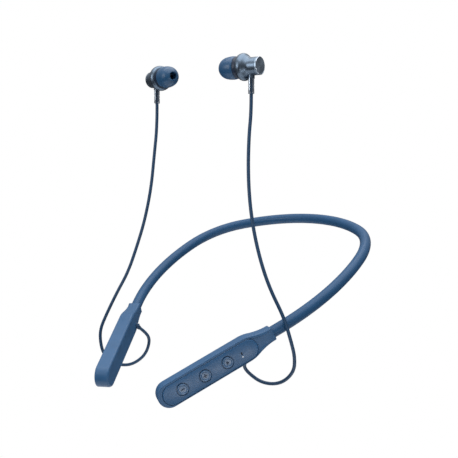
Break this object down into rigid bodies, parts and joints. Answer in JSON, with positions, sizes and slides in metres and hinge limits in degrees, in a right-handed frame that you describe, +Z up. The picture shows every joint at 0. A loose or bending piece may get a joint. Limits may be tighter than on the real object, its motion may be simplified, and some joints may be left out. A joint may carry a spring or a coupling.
{
  "type": "neckband earphones",
  "caption": "Wireless in-ear headphones on a flexible neck band with control pods and thin cables to two metal buds.",
  "frame": {"origin": "the point at the back centre of the neck band that rests on the wearer's neck", "axes": "+Z up, -Y to the wearer's front, +X to the wearer's left, where the buttons are"},
  "size_m": [0.1476, 0.1624, 0.1837],
  "materials": {
    "sleeve_silicone": "satin denim-blue silicone",
    "pod_plastic": "fine matte denim-blue plastic",
    "panel_plastic": "smooth satin denim-blue plastic",
    "button_plastic": "satin denim-blue plastic",
    "cable_rubber": "matte dark blue rubber",
    "bud_metal": "satin slate-blue coated metal",
    "cap_metal": "spun slate-blue metal with a bright rim",
    "tip_silicone": "soft satin blue silicone",
    "spring_steel": "drawn spring wire",
    "lead_copper": "insulated flexible leads",
    "board_laminate": "green solder resist",
    "switch_steel": "stamped steel cover",
    "light_plastic": "milky clear plastic",
    "socket_steel": "stamped steel shell",
    "battery_wrap": "foil pouch",
    "foam": "closed-cell foam",
    "magnet_nickel": "nickel plated",
    "driver_body": "moulded driver case",
    "mesh_steel": "fine woven mesh"
  },
  "bodies": {
    "band": {"band_sleeve_back": "sleeve_silicone", "spring_wire": "spring_steel", "lead_wires": "lead_copper"},
    "left_arm": {"left_band_sleeve": "sleeve_silicone", "left_housing": "pod_plastic", "left_face_panel": "panel_plastic", "left_cable_grommet": "cable_rubber", "left_cable": "cable_rubber", "left_bud_housing": "bud_metal", "left_bud_cap": "cap_metal", "left_bud_magnet": "magnet_nickel", "left_bud_driver": "driver_body", "left_bud_nozzle": "bud_metal", "left_nozzle_mesh": "mesh_steel", "left_bud_stem": "bud_metal", "left_strain_relief": "cable_rubber", "left_circuit_board": "board_laminate", "microphone": "switch_steel", "led_light_guide": "light_plastic", "charging_socket": "socket_steel", "socket_cover": "tip_silicone", "switch_minus": "switch_steel", "switch_plus": "switch_steel", "switch_play": "switch_steel"},
    "right_arm": {"right_band_sleeve": "sleeve_silicone", "right_housing": "pod_plastic", "right_face_panel": "panel_plastic", "right_cable_grommet": "cable_rubber", "right_cable": "cable_rubber", "right_bud_housing": "bud_metal", "right_bud_cap": "cap_metal", "right_bud_magnet": "magnet_nickel", "right_bud_driver": "driver_body", "right_bud_nozzle": "bud_metal", "right_nozzle_mesh": "mesh_steel", "right_bud_stem": "bud_metal", "right_strain_relief": "cable_rubber", "battery": "battery_wrap", "battery_pad": "foam", "protection_board": "board_laminate"},
    "left_tip": {"left_ear_tip": "tip_silicone"},
    "right_tip": {"right_ear_tip": "tip_silicone"},
    "minus_button": {"button_minus": "button_plastic"},
    "plus_button": {"button_plus": "button_plastic"},
    "play_button": {"button_play": "button_plastic"}
  },
  "joints": [
    {"name": "left_arm_flex", "type": "hinge", "parent": "band", "child": "left_arm", "pos_m": [0.04875, -0.01124, -0.00526], "axis": [0, -0.342, 0.9397], "range_deg": [-3, 12], "stiffness_Nm_per_rad": 0.8, "deforming": ["spring_wire", "lead_wires"]},
    {"name": "right_arm_flex", "type": "hinge", "parent": "band", "child": "right_arm", "pos_m": [-0.04875, -0.01124, -0.00526], "axis": [0, 0.342, -0.9397], "range_deg": [-3, 12], "stiffness_Nm_per_rad": 0.8, "deforming": ["spring_wire", "lead_wires"]},
    {"name": "minus_press", "type": "slide", "parent": "left_arm", "child": "minus_button", "axis": [-0.8465, 0.5323, 0.01], "range_m": [0, 0.0004], "stiffness_N_per_m": 1200},
    {"name": "plus_press", "type": "slide", "parent": "left_arm", "child": "plus_button", "axis": [-0.8465, 0.5323, 0.01], "range_m": [0, 0.0004], "stiffness_N_per_m": 1200},
    {"name": "play_press", "type": "slide", "parent": "left_arm", "child": "play_button", "axis": [-0.8465, 0.5323, 0.01], "range_m": [0, 0.0004], "stiffness_N_per_m": 1200},
    {"name": "left_tip_pull", "type": "slide", "parent": "left_arm", "child": "left_tip", "axis": [-0.9816, -0.1908, 0], "range_m": [0, 0.008]},
    {"name": "right_tip_pull", "type": "slide", "parent": "right_arm", "child": "right_tip", "axis": [0.9816, -0.1908, 0], "range_m": [0, 0.008]}
  ]
}
